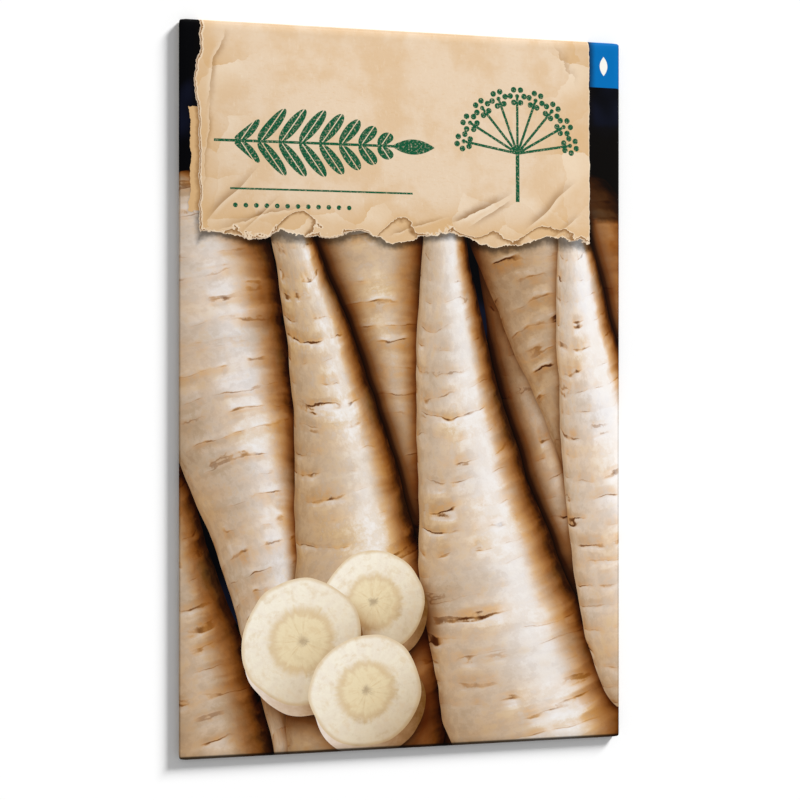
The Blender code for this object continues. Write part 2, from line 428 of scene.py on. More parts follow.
class Net:
    """The flat net of the packet, and where each of its points lies once it is folded."""

    def __init__(self, sheet):
        self.sheet = sheet
        step = sheet.paper + sheet.layer_gap
        self.flap_level = ENVELOPE_LOW.z + sheet.paper / 2
        self.back_level = self.flap_level + step
        self.seam_level = self.back_level + step
        self.front_level = self.seam_level + step
        self.seam_fold = step / 2
        self.back_fold = step
        self.end_fold = step * 1.5
        self.left = -(sheet.width / 2 - self.seam_fold - sheet.paper / 2)
        self.right = sheet.width / 2 - self.back_fold - sheet.paper / 2
        self.end = sheet.height / 2 - self.end_fold - sheet.paper / 2
        self.back_width = self.right + sheet.width / 2 - sheet.back_inset
        self.columns = self.places(
            [
                (sheet.seam_flap, 0),
                (math.pi * self.seam_fold, sheet.fold_cells),
                (self.right - self.left, 0),
                (math.pi * self.back_fold, sheet.fold_cells),
                (self.back_width, 0),
            ],
            self.left - math.pi * self.seam_fold - sheet.seam_flap,
        )
        self.rows = self.places(
            [
                (sheet.bottom_flap, 0),
                (math.pi * self.end_fold, sheet.fold_cells),
                (2 * self.end, 0),
                (math.pi * self.end_fold, sheet.fold_cells),
                (sheet.top_flap, 0),
            ],
            -self.end - math.pi * self.end_fold - sheet.bottom_flap,
        )

    def places(self, stretches, start):
        """Grid places along stretches of a length and a count of cells, 0 for the usual cells."""
        found = [start]
        for extent, given in stretches:
            count = given or round(extent / self.sheet.cell)
            first = found[-1]
            found += [first + extent * i / count for i in range(1, count + 1)]
        return found

    def front_height(self, x, y):
        """Height of the front panel: the filling's pillow and the paper's own slow waves."""
        sheet = self.sheet
        across = 1 - abs(2 * x / sheet.width) ** PILLOW_POWERS[0]
        along = 1 - abs(2 * y / sheet.height) ** PILLOW_POWERS[1]
        pillow = sheet.front_swell * max(0.0, across) * max(0.0, along)
        edge = min(1.0, (self.end - abs(y)) / WAVE_FADE, (sheet.width / 2 - abs(x)) / WAVE_FADE)
        wave = noise.noise(Vector((x * WAVE_RATES[0], y * WAVE_RATES[1], 2.0)))
        return self.front_level + pillow + wave * sheet.ripple * max(0.0, edge)

    def back_drop(self, x, y):
        """Depth of the back panel's pillow, which stays clear of the glued edges."""
        across = 1 - (x / BACK_PILLOW[0]) ** BACK_PILLOW_POWER
        along = 1 - ((y + BACK_PILLOW_DROP) / BACK_PILLOW[1]) ** BACK_PILLOW_POWER
        return self.sheet.back_swell * max(0.0, across) * max(0.0, along)

    def pressed(self, to_free_edge):
        """How far a layer is pressed towards the one that it is glued to, near its free edge."""
        near = max(0.0, 1 - to_free_edge / PRESS_REACH)
        return self.sheet.layer_gap * PRESS_SHARE * near * near * (3 - 2 * near)

    def beyond_end(self, across, along):
        way = math.copysign(1.0, along)
        past = abs(along) - self.end
        out, down = fold(past, self.end_fold)
        onto_back = max(0.0, -out)
        x = across * (1 - self.sheet.flap_taper * onto_back / self.sheet.top_flap)
        flap = self.sheet.top_flap if way > 0 else self.sheet.bottom_flap
        z = self.front_level - down + (self.pressed(flap - onto_back) if onto_back else 0.0)
        return Vector((x, way * (self.end + out), z))

    def beyond_side(self, across, along):
        on_left = across < self.left
        radius = self.seam_fold if on_left else self.back_fold
        past = self.left - across if on_left else across - self.right
        out, down = fold(past, radius)
        onto_back = max(0.0, -out)
        y = along * (1 - self.sheet.side_relief * min(1.0, past / radius) / self.end)
        z = self.front_level - down
        if on_left:
            y *= 1 - self.sheet.seam_taper * onto_back / self.sheet.seam_flap
            return Vector((self.left - out, y, z))
        x = self.right + out
        if onto_back:
            z += self.pressed(self.back_width - onto_back) - self.back_drop(x, y)
        return Vector((x, y, z))

    def corner(self, across, along):
        """The first quarter of both folds at once, where they meet at a corner of the packet."""
        on_left = across < self.left
        radius = self.seam_fold if on_left else self.back_fold
        past_side = self.left - across if on_left else across - self.right
        out_side, down_side = fold(past_side, radius)
        out_end, down_end = fold(abs(along) - self.end, self.end_fold)
        x = self.left - out_side if on_left else self.right + out_side
        y = math.copysign(self.end + out_end, along)
        return Vector((x, y, self.front_level - max(down_side, down_end)))

    def place(self, across, along):
        """Where a point of the flat net lies on the folded packet, inside its rounded corners."""
        beside = across < self.left or across > self.right
        beyond = abs(along) > self.end
        if beside and beyond:
            point = self.corner(across, along)
        elif beyond:
            point = self.beyond_end(across, along)
        elif beside:
            point = self.beyond_side(across, along)
        else:
            point = Vector((across, along, self.front_height(across, along)))
        return self.rounded(point)

    def rounded(self, point):
        """Pulls what sticks out of the rounded corners in to them."""
        half = self.sheet.paper / 2
        radius = self.sheet.corner_radius
        centre_x = self.sheet.width / 2 - half - radius
        centre_y = self.sheet.height / 2 - half - radius
        out_x = abs(point.x) - centre_x
        out_y = abs(point.y) - centre_y
        reach = math.hypot(out_x, out_y)
        if out_x > 0 and out_y > 0 and reach > radius:
            point.x = math.copysign(centre_x + out_x * radius / reach, point.x)
            point.y = math.copysign(centre_y + out_y * radius / reach, point.y)
        return point


def fold(past, radius):
    """How far out and how far down a point lies that is this far past a fold line."""
    if past < math.pi * radius:
        angle = past / radius
        return radius * math.sin(angle), radius * (1 - math.cos(angle))
    return math.pi * radius - past, 2 * radius


# Room for rounding when grid places are set against fold lines.
SPARE = 1e-7


def cut_to_net(built, net):
    """Cuts the corners off a grid of unit size, and gives each point's place on the flat net."""
    columns, rows = net.columns, net.rows
    quarter_side = {True: math.pi / 2 * net.seam_fold, False: math.pi / 2 * net.back_fold}
    quarter_end = math.pi / 2 * net.end_fold
    cut_away = []
    flat = {}
    for vertex in built.verts:
        across = columns[round((vertex.co.x + 0.5) * (len(columns) - 1))]
        along = rows[round((vertex.co.y + 0.5) * (len(rows) - 1))]
        past_side = max(net.left - across, across - net.right)
        past_end = abs(along) - net.end
        on_left = across < net.left
        in_corner = past_side < quarter_side[on_left] + SPARE and past_end < quarter_end + SPARE
        if past_side > SPARE and past_end > SPARE and not in_corner:
            cut_away.append(vertex)
        else:
            flat[vertex] = Vector((across, along))
    bmesh.ops.delete(built, geom=cut_away, context="VERTS")
    return flat


def folded_sheet(net):
    """The net, cut out, given its flat layout as UVs and the place of its prints, then folded."""
    low = Vector((net.columns[0], net.rows[0]))
    extent = Vector((net.columns[-1], net.rows[-1])) - low
    segments = (len(net.columns) - 1, len(net.rows) - 1)
    built = bmesh.new()
    bmesh.ops.create_grid(built, x_segments=segments[0], y_segments=segments[1], size=0.5)
    flat = cut_to_net(built, net)
    uv = built.loops.layers.uv.new("net")
    front_left = net.left - math.pi * net.seam_fold
    front_right = net.right + math.pi * net.back_fold
    front_end = net.end + math.pi * net.end_fold
    for face in built.faces:
        middle = sum((flat[v] for v in face.verts), Vector((0.0, 0.0))) / len(face.verts)
        on_front = front_left < middle.x < front_right and abs(middle.y) < front_end
        face.material_index = 0 if on_front else 1
        for loop in face.loops:
            place = flat[loop.vert] - low
            loop[uv].uv = (place.x / extent.x, place.y / extent.y)
    for vertex, place in flat.items():
        vertex.co = net.place(place.x, place.y)
    mesh = bpy.data.meshes.new("printed_envelope")
    built.to_mesh(mesh)
    built.free()
    return mesh


# The wall's six kinds of face are the front's and the back's outer sides, inner sides and cut edges.
FINISH_OF_FACE = (0, 1, 2, 2, 3, 3)
SHARPEST_BEND = math.radians(40)


def add_object(name, data):
    added = bpy.data.objects.new(name, data)
    bpy.context.scene.collection.objects.link(added)
    return added


def thickened(mesh, thickness):
    """The sheet with its thickness: its outer side keeps its prints, the rest gets its own finishes."""
    sheet = add_object("printed_envelope", mesh)
    wall = sheet.modifiers.new("paper", "SOLIDIFY")
    wall.thickness = thickness
    wall.offset = 0.0
    wall.material_offset = 2
    wall.material_offset_rim = 4
    for _ in FINISH_OF_FACE:
        mesh.materials.append(None)
    graph = bpy.context.evaluated_depsgraph_get()
    solid = bpy.data.meshes.new_from_object(sheet.evaluated_get(graph))
    sheet.modifiers.clear()
    sheet.data = solid
    finishes = [FINISH_OF_FACE[polygon.material_index] for polygon in solid.polygons]
    solid.materials.clear()
    for polygon, finish in zip(solid.polygons, finishes):
        polygon.material_index = finish
    solid.shade_smooth()
    solid.set_sharp_from_angle(angle=SHARPEST_BEND)
    return sheet


def new_material(name):
    """A material with only its output, and its node tree."""
    material = bpy.data.materials.new(name)
    material.use_nodes = True
    material.node_tree.nodes.clear()
    material.node_tree.nodes.new("ShaderNodeOutputMaterial")
    return material, material.node_tree


def finish_surface(tree, base, roughness, height=None, relief=0.0, **fixed):
    """Ends a material: its colour, its roughness and, in metres, what its height stands for."""
    sockets = {"Base Color": base, "Roughness": roughness}
    if height is not None:
        bump = {"Height": height, "Distance": relief, "Strength": 1.0}
        sockets["Normal"] = Wire.node(tree, "ShaderNodeBump", {}, bump)
    sockets.update({name.replace("_", " "): value for name, value in fixed.items()})
    shader = Wire.node(tree, "ShaderNodeBsdfPrincipled", {}, sockets)
    output = next(n for n in tree.nodes if n.type == "OUTPUT_MATERIAL")
    tree.links.new(shader.socket, output.inputs["Surface"])


def net_place(tree, net):
    """The place on the flat net, in millimetres, with the middle of the front panel at zero."""
    uv = Wire.node(tree, "ShaderNodeUVMap", {"uv_map": "net"}, {})
    extent = (net.columns[-1] - net.columns[0], net.rows[-1] - net.rows[0])
    scale = (extent[0] / MM, extent[1] / MM, 1.0)
    low = (net.columns[0] / MM, net.rows[0] / MM, 0.0)
    sockets = {"Vector": uv, "Location": low, "Scale": scale}
    return Wire.node(tree, "ShaderNodeMapping", {"vector_type": "POINT"}, sockets)


# Half-widths of a root from its crown to its tip, its reach and the shade of its shoulder.
ROOT_PROFILE = (
    (0.0, (0.0, 0.0, 1.0)),
    (0.004, (0.50, 1.0, 0.9)),
    (0.03, (0.90, 1.0, 0.6)),
    (0.08, (1.03, 1.0, 0.15)),
    (0.20, (0.97, 1.0, 0.0)),
    (0.38, (0.77, 1.0, 0.0)),
    (0.58, (0.53, 1.0, 0.0)),
    (0.76, (0.35, 1.0, 0.0)),
    (0.90, (0.22, 1.0, 0.0)),
    (0.975, (0.13, 0.9, 0.0)),
    (1.0, (0.0, 0.0, 0.0)),
)
PROFILE_FLOOR = 0.03

# The side that the picture's light comes from.
PICTURE_LIGHT = (-0.74, 0.67)

# Strength of the light across a root, from its lit edge to its dark one.
LIGHT_ACROSS = (
    (0.0, 0.50),
    (0.05, 0.66),
    (0.22, 0.72),
    (0.40, 0.80),
    (0.56, 0.92),
    (0.69, 1.00),
    (0.78, 0.84),
    (0.86, 0.58),
    (0.92, 0.34),
    (0.96, 0.16),
    (1.0, 0.05),
)

# What light of each strength makes of the skin.
LIT_SKIN = (
    (0.0, srgb(6, 3, 1)),
    (0.12, srgb(61, 34, 12)),
    (0.27, srgb(123, 85, 38)),
    (0.43, srgb(168, 134, 96)),
    (0.58, srgb(202, 180, 152)),
    (0.72, srgb(232, 221, 207)),
    (0.84, srgb(255, 255, 255)),
)

# What a shadow of each depth makes of all it falls on.
SHADOWED = (
    (0.0, srgb(5, 2, 1)),
    (0.22, srgb(60, 32, 12)),
    (0.45, srgb(142, 102, 64)),
    (0.70, srgb(208, 186, 162)),
    (1.0, srgb(255, 255, 255)),
)

# Printed roots, from the back to the front: crown, tip, widest girth and bend, in millimetres.
ROOTS = (
    ((-42.0, -100.0), (-66.0, 44.0), 37.0, 4.0),
    ((44.0, -98.0), (15.0, 52.0), 38.0, -3.0),
    ((-15.0, 62.0), (14.0, -88.0), 40.0, -6.0),
    ((29.0, 49.0), (60.0, -92.0), 40.0, 6.0),
    ((-57.0, 46.0), (-25.0, -96.0), 39.0, 6.0),
    ((-9.0, -92.0), (-34.0, 56.0), 38.0, -7.0),
    ((37.0, -91.0), (8.0, 54.0), 43.0, 8.0),
    ((69.0, -74.0), (38.0, 50.0), 38.0, 6.0),
)
ROOT_SWAY = 3.0
DEEPEST_TONE = 0.70
WOBBLE_SCALE = 0.05

# Printed slices, from the back to the front: centre and radius, in millimetres.
SLICES = (((-8.0, -47.0), 11.5), ((-24.0, -55.0), 13.5), ((-9.5, -66.5), 12.5))
SLICE_WALL = (0.07, -0.20)
SLICE_SHADOW = (0.22, -0.42)
SLICE_GLOW = ((0.55, (0.62, 0.52, 0.40)), (0.80, (0.92, 0.89, 0.84)), (1.0, (1.0, 1.0, 1.0)))

# How far apart the rings round a root lie, in millimetres.
RING_PITCH = 5.0
SHINE = srgb(238, 236, 235)


def printed_root(place, wobble, crown, turn, size, bend, sway, lit_side, tone, seed):
    """One whole root: where it lies, its soft shadow, and the place along and round it."""
    along, across = placed(place, crown, turn, size)
    length_mm, _, _ = split(size)
    across = across - along * (1 - along) * bend + share_of(wobble, sway)
    width, window, shoulder = split(ramp_of(along, ROOT_PROFILE, "B_SPLINE"))
    width = (width - PROFILE_FLOOR) * (1 + share_of(wobble, (0.0, 0.0, 0.14)))
    far_side = (across * lit_side).rise(0.4, -0.4)
    reach = 0.16 + far_side * 0.28
    near = 1 - ((abs(across) - width) / reach).clamped()
    round_place = (across / width).most(-1.0).least(1.0)
    return {
        "inside": abs(across) < width,
        "dimmed": 1 - near * near * window * (0.45 + far_side * 0.53),
        "lit": vector(round_place, lit_side, tone - shoulder * 0.4),
        "on_skin": vector(round_place.math("ARCSINE"), along * length_mm, seed),
    }


def root_values(number, crown, tip, girth, bend):
    """What one root of the list gives the group that draws a root: a deeper one is a little darker."""
    axis = Vector(tip) - Vector(crown)
    turn = math.atan2(axis.y, axis.x)
    sideways = Vector((-math.sin(turn), math.cos(turn)))
    sway = ROOT_SWAY / girth
    return {
        "crown": (*crown, 0.0),
        "turn": (0.0, 0.0, turn),
        "size": (axis.length, girth / 2, 1.0),
        "bend": 8 * bend / girth,
        "sway": (sway, 0.0, 0.0) if number % 2 else (0.0, sway, 0.0),
        "lit_side": math.copysign(1.0, Vector(PICTURE_LIGHT).dot(sideways)),
        "tone": DEEPEST_TONE + (1 - DEEPEST_TONE) * number / (len(ROOTS) - 1),
        "seed": 7.3 * number + 2.0,
    }


def printed_slice(place, wobble, centre, size, seed):
    """One round slice lying on the roots: where it lies, its soft shadow and the place on it."""
    x, y = placed(place, centre, size=size)
    swell = 1 + share_of(wobble, (0.22, 0.0, 0.0))
    face = span(x, y) * swell
    wall = span(x - SLICE_WALL[0], y - SLICE_WALL[1]) * swell
    shadow = span(x - SLICE_SHADOW[0], y - SLICE_SHADOW[1]) * swell
    return {
        "inside": face.least(wall) < 1.0,
        "dimmed": shadow.rise(0.55, 1.35) * 0.9 + 0.1,
        "on_slice": vector(x, y, face + seed),
    }


def rings_round(arc, along, seed, strong):
    """The rings round a root: creases that come and go, what lies beside them and the swell between."""
    turned = along / RING_PITCH
    off = turned.fract() - 0.5
    here = cloud(vector(arc * 1.9, (turned - off) * 3.7, seed), 1.0, detail=2.0, roughness=0.6)
    strength = here.rise(0.44, 0.62) * strong
    ahead = off * RING_PITCH
    line = (abs(ahead) / (0.12 + strength * 0.34)).rise(1.0, 0.2) * strength
    band = abs(ahead - 0.5).rise(1.8, 0.2) * here.rise(0.36, 0.58) * strong
    lip = abs(ahead + 0.85).rise(0.65, 0.1) * strength
    swell = off * (1 - off * off * 4) * strength
    return line, line * here.rise(0.54, 0.66), band, lip, swell


def root_skin(lit, on_skin, colours):
    """A root's skin with its patches, rings and slits, under the picture's light."""
    round_place, lit_side, tone = split(lit)
    arc, along, seed = split(on_skin)
    facing = (1 - round_place * round_place).root()
    patches = cloud(vector(arc * 11.0, along, seed), 0.075, detail=3.0, roughness=0.6)
    mottle = cloud(vector(arc * 14.0, along, seed), 0.42, detail=4.0, roughness=0.7)
    arched = along + facing * 3.2 + patches * 4.0
    hoops = cloud(vector(arc * 0.8, arched * 0.30, seed), 1.0, detail=2.0, roughness=0.55)
    strong = 0.40 + patches.rise(0.40, 0.58) * 0.75
    line, slit, band, lip, swell = rings_round(arc, arched + hoops * 7.0 + mottle * 1.3, seed, strong)
    warmth = (seed * 0.23).fract() * 0.58
    skin = blend(patches.rise(0.36, 0.58), colours.skin_pale, colours.skin)
    skin = blend(patches.rise(0.50, 0.72) * 0.45 + warmth, skin, colours.skin_tan)
    skin = blend(mottle.rise(0.49, 0.64) * 0.40, skin, colours.skin_tan)
    skin = blend(mottle.rise(0.47, 0.35) * 0.38, skin, colours.skin_pale)
    skin = blend(band * (0.06 + mottle.rise(0.42, 0.56) * 0.34), skin, colours.skin_gold)
    skin = blend(lip * 0.45, skin, colours.skin_pale)
    skin = blend(line * 0.60, skin, colours.skin_gold)
    skin = blend(line * 0.28 + slit * 0.62, skin, colours.scar)
    side = 0.5 - round_place * lit_side * 0.5
    side = side + ((0.5 - hoops) * 0.12 + (mottle - 0.5) * 0.05) * side.rise(0.35, 0.80)
    light = strength_of(side.clamped(), LIGHT_ACROSS) * (tone + (patches - 0.5) * 0.36)
    light = light + (mottle.rise(0.36, 0.64) - 0.5) * 0.08 + (0.5 - hoops) * 0.10
    light = light - line * 0.04 - swell * 0.28
    golden = side.rise(0.70, 0.88) * patches.rise(0.25, 0.50) * 0.65
    skin = blend(golden, skin, colours.skin_gold)
    shaded = blend(1.0, skin, ramp_of(light.clamped(), LIT_SKIN), "MULTIPLY")
    shine = light.rise(0.78, 0.98) * (0.3 + mottle * 0.8)
    return {"colour": blend(shine.clamped(), shaded, SHINE)}


def slice_face(on_slice, colours):
    """A slice: a pale cut face with its core and rays, and skin on the wall below."""
    x, y, coded = split(on_slice)
    radius = coded.math("FLOORED_MODULO", 3.0)
    rays = cloud(vector(x / radius, y / radius, coded * 0.35), 6.5, detail=3.0, roughness=0.6)
    pores = cloud(vector(x, y, coded), 4.5, detail=4.0, roughness=0.65)
    star = radius + (rays - 0.5) * 0.22 + (pores - 0.5) * 0.16
    face = blend(rays.rise(0.35, 0.70) * 0.35, colours.flesh, colours.skin)
    face = blend(star.rise(0.62, 0.36) * 0.75, face, colours.core)
    face = blend(star.rise(0.36, 0.48) * star.rise(0.62, 0.48) * 0.55, face, colours.skin_tan)
    face = blend(rays.rise(0.52, 0.66) * star.rise(0.46, 0.20) * 0.35, face, colours.skin_tan)
    face = blend(star.rise(0.12, 0.02) * 0.45, face, colours.scar)
    face = blend(pores.rise(0.46, 0.70) * 0.40, face, colours.skin_tan)
    face = blend(radius.rise(0.92, 0.99) * 0.6, face, colours.skin_tan)
    glow = (0.82 - x * 0.18 + y * 0.20 + (pores - 0.5) * 0.35).clamped()
    face = blend(1.0, face, ramp_of(glow, SLICE_GLOW), "MULTIPLY")
    wall_light = (0.48 - x * 0.30 + pores * 0.25).clamped()
    wall = blend(1.0, colours.skin, ramp_of(wall_light, LIT_SKIN), "MULTIPLY")
    return {"colour": blend(radius > 1.0, face, wall)}


def picture(place, colours):
    """The picture: roots lying head to tail on a dark ground, and three slices on them."""
    wobble = moved(cloud(place, WOBBLE_SCALE, dimensions="2D", output=1), (0.5, 0.5, 0.5))
    root = Group(
        "printed_root",
        printed_root,
        vectors=("place", "wobble", "crown", "turn", "size", "sway"),
        values=("bend", "lit_side", "tone", "seed"),
    )
    piece = Group("printed_slice", printed_slice, ("place", "wobble", "centre", "size"), ("seed",))
    skin = Group("root_skin", partial(root_skin, colours=colours), ("lit", "on_skin"))
    cut = Group("slice_face", partial(slice_face, colours=colours), ("on_slice",))
    covered, sliced, shade = 0.0, 0.0, 1.0
    lit = on_skin = on_slice = (0.0, 0.0, 0.0)
    for number, root_shape in enumerate(ROOTS):
        values = root_values(number, *root_shape)
        inside, dimmed, lit_here, skin_here = root.use(place=place, wobble=wobble, **values)
        covered = inside.most(covered)
        shade = (dimmed * shade).most(inside)
        lit = choose(inside, lit, lit_here)
        on_skin = choose(inside, on_skin, skin_here)
    for number, (centre, radius) in enumerate(SLICES):
        values = {"centre": (*centre, 0.0), "size": (radius, radius, 1.0), "seed": 3.0 * number}
        inside, dimmed, slice_here = piece.use(place=place, wobble=wobble, **values)
        covered = inside.most(covered)
        sliced = inside.most(sliced)
        shade = (dimmed * shade).most(inside)
        on_slice = choose(inside, on_slice, slice_here)
    things = blend(sliced, skin.use(lit=lit, on_skin=on_skin), cut.use(on_slice=on_slice))
    things = blend(1.0, things, ramp_of(shade, SHADOWED), "MULTIPLY")
    glow = share_of(wobble, (1.0, 1.0, 0.0)).rise(0.06, 0.30)
    ground = blend(glow, colours.ground, colours.ground_glow)
    return {"colour": blend(covered, ground, things)}


# The label and what is stamped on it, in millimetres from the middle of the front.
LABEL_LEFT = -46.6
LABEL_RIGHT = 43.4
LABEL_BOTTOM = 33.5
LAYER_ROWS = (38.5, 61.0)
LAYER_WIDTH = 1.9
TAB_LEFT = 43.5
TAB_BOTTOM = 69.5
GRAIN = (47.0, 74.4)
GRAIN_REACH = (0.95, 2.2)
SPRIG_START = (-40.0, 54.0, 0.0)
SPRIG_LENGTH = 43.0
SPRIG_REACH = 7.4
LEAFLET_PITCH = 4.5
RULE = (-40.0, 1.0, 43.6)
DOTS = (-40.0, -12.0, 40.0)
DOT_PITCH = 2.3
DOT_RADIUS = 0.52
UMBEL_BASE = (25.8, 53.5, 0.0)
UMBEL_RAYS = 9
UMBEL_RAY = 13.0
UMBEL_STEM = 11.0
STROKE = 0.30


def sprig(place):
    """A stamped feather leaf: a stem with pairs of pointed leaflets and one at its end."""
    x, y, _ = split(place)
    off_stem = abs(y)
    up_stem = x / SPRIG_LENGTH
    reach = up_stem.rise(-0.10, 0.30) * up_stem.rise(1.12, 0.45) * SPRIG_REACH
    slant = (x - off_stem * 0.70) / LEAFLET_PITCH
    sideways = abs(slant.fract() - 0.5) * LEAFLET_PITCH
    out = off_stem / reach
    leaflet = sideways < (out * (1 - out)).most(0.0).root() * 3.5
    leaflet = leaflet * (sideways > 0.13) * between(slant, 0.0, (SPRIG_LENGTH - 6.5) / LEAFLET_PITCH)
    stem = (off_stem < STROKE) * between(x, -3.5, SPRIG_LENGTH - 3.0)
    end_x = (x - SPRIG_LENGTH + 1.8) / 5.0
    end_leaf = abs(y) < (1 - end_x * end_x) * 1.7
    return {"mask": leaflet.most(stem).most(end_leaf)}


def umbel(place):
    """A stamped flower head seen from its side: rays that fan out from a stem, ringed with dots."""
    x, y, _ = split(place)
    sector = math.radians(180 / UMBEL_RAYS)
    angle = x.math("ARCTAN2", y)
    nearest = (angle / sector).math("ROUND").most(-(UMBEL_RAYS // 2)).least(UMBEL_RAYS // 2)
    aside = angle - nearest * sector
    far = span(x, y)
    across = far * aside.math("SINE")
    along = far * aside.math("COSINE")
    ray = (abs(across) < STROKE) * between(along, 0.0, UMBEL_RAY)
    ahead = along - UMBEL_RAY
    around = ahead.math("ARCTAN2", across) / math.radians(60) + 0.5
    petal = (around.fract() - 0.5) * math.radians(60)
    from_head = span(across, ahead)
    dots = span(from_head * petal.math("COSINE") - 1.65, from_head * petal.math("SINE")) < 0.66
    stem = (abs(x) < STROKE * 1.5) * between(y, -UMBEL_STEM, 0.6)
    return {"mask": ray.most(dots).most(stem).most(from_head < 0.5)}


def box_depth(x, y, centre, half):
    """How far a place lies inside a rectangle, below zero outside it."""
    return (half[0] - abs(x - centre[0])).least(half[1] - abs(y - centre[1]))


def stamped(place, paper, mask, colours):
    """Paper with a stamp on it, whose ink is worn through in specks."""
    specks = cloud(place, 2.1, detail=4.0, roughness=0.75, dimensions="2D")
    ink = blend(specks.rise(0.54, 0.64) * 0.40, colours.ink, colours.kraft)
    return blend(mask * (specks < 0.69), paper, ink)


# Creases in the label, each with its start, its end, how far its shade reaches and how deep it is.
CREASES = (
    ((-45.0, 36.0), (-31.0, 50.0), 2.6, 0.42),
    ((-43.5, 35.0), (-19.0, 42.5), 2.2, 0.38),
    ((-37.0, 34.0), (-27.0, 43.5), 1.6, 0.30),
    ((-3.0, 35.5), (11.0, 39.5), 1.6, 0.45),
    ((9.0, 37.0), (27.0, 46.0), 2.6, 0.60),
    ((26.0, 44.5), (14.0, 36.5), 2.0, 0.35),
    ((28.0, 36.0), (43.5, 50.0), 2.8, 0.45),
    ((34.0, 35.0), (43.5, 42.0), 1.8, 0.35),
    ((-39.5, 80.0), (-44.5, 60.0), 2.2, 0.40),
    ((-43.0, 66.0), (-44.5, 40.0), 1.5, 0.35),
    ((36.0, 80.0), (43.0, 70.0), 2.4, 0.22),
)


def crease(place, start, turn, size, depth):
    """Shade of a fold line: darker on one side, lighter on the other, and nothing far from it."""
    along, across = placed(place, start, turn, size)
    window = along.rise(0.0, 0.3) * along.rise(1.0, 0.5) * depth
    light = across.rise(-0.5, -0.02) * (across < 0.0)
    dark = across.rise(1.0, 0.0) * (across > 0.0)
    return {"shade": (light * 0.8 - dark * dark) * window}


def crease_values(start, end, reach, depth):
    """What one crease of the list gives the group that draws a crease."""
    axis = Vector(end) - Vector(start)
    turn = math.atan2(axis.y, axis.x)
    size = (axis.length, reach, 1.0)
    return {"start": (*start, 0.0), "turn": (0.0, 0.0, turn), "size": size, "depth": depth}


def kraft_paper(place, crumpled, colours):
    """Kraft paper: clouds, short fibres and, where it is crumpled, flat facets."""
    x, y, _ = split(place)
    clouds = cloud(place, 0.07, detail=4.0, roughness=0.6, dimensions="2D")
    fibres = cloud(vector(x * 0.35, y, 1.0), 2.4, detail=3.0, roughness=0.7)
    upright = cloud(vector(x, y * 0.3, 6.0), 1.9, detail=3.0, roughness=0.7)
    paper = blend(clouds.rise(0.40, 0.66) * 0.50, colours.kraft, colours.kraft_deep)
    paper = blend(fibres.rise(0.52, 0.75) * 0.30, paper, colours.kraft_deep)
    paper = blend(upright.rise(0.55, 0.78) * 0.25, paper, colours.kraft_core)
    bent_x = x + clouds * 12.0
    bent_y = y + fibres * 0.8
    (tilt, _, _), (near_x, near_y, _) = cells(vector(bent_x, bent_y), 0.11)
    slope = ((bent_x - near_x) * 0.5 - (bent_y - near_y)) * 0.11 + tilt - 0.48
    slope = slope * crumpled
    paper = blend(slope.clamped() * 0.8, paper, colours.kraft_deep)
    return {"colour": blend((-slope).clamped() * 0.6, paper, colours.kraft_core)}


def creased(place, paper, colours):
    """Paper with the shades of its fold lines."""
    fold_line = Group("crease", crease, ("place", "start", "turn", "size"), ("depth",))
    shades = [fold_line.use(place=place, **crease_values(*line)) for line in CREASES]
    shade = sum(shades[1:], shades[0])
    paper = blend(shade.clamped(), paper, colours.kraft_core)
    return blend((shade * -1.35).clamped(), paper, colours.kraft_fold)


def stamps(place, leaf):
    """Where the label is stamped: a sprig, a flower head, a rule and a row of dots."""
    x, y, _ = split(place)
    head = Group("umbel", umbel)
    dot_x = (((x - DOTS[0]) / DOT_PITCH).fract() - 0.5) * DOT_PITCH
    mask = leaf.use(place=moved(place, SPRIG_START)).most(head.use(place=moved(place, UMBEL_BASE)))
    mask = mask.most(between(x, RULE[0], RULE[1]) * (abs(y - RULE[2]) < STROKE * 0.7))
    return mask.most((span(dot_x, y - DOTS[2]) < DOT_RADIUS) * between(x, DOTS[0], DOTS[1]))


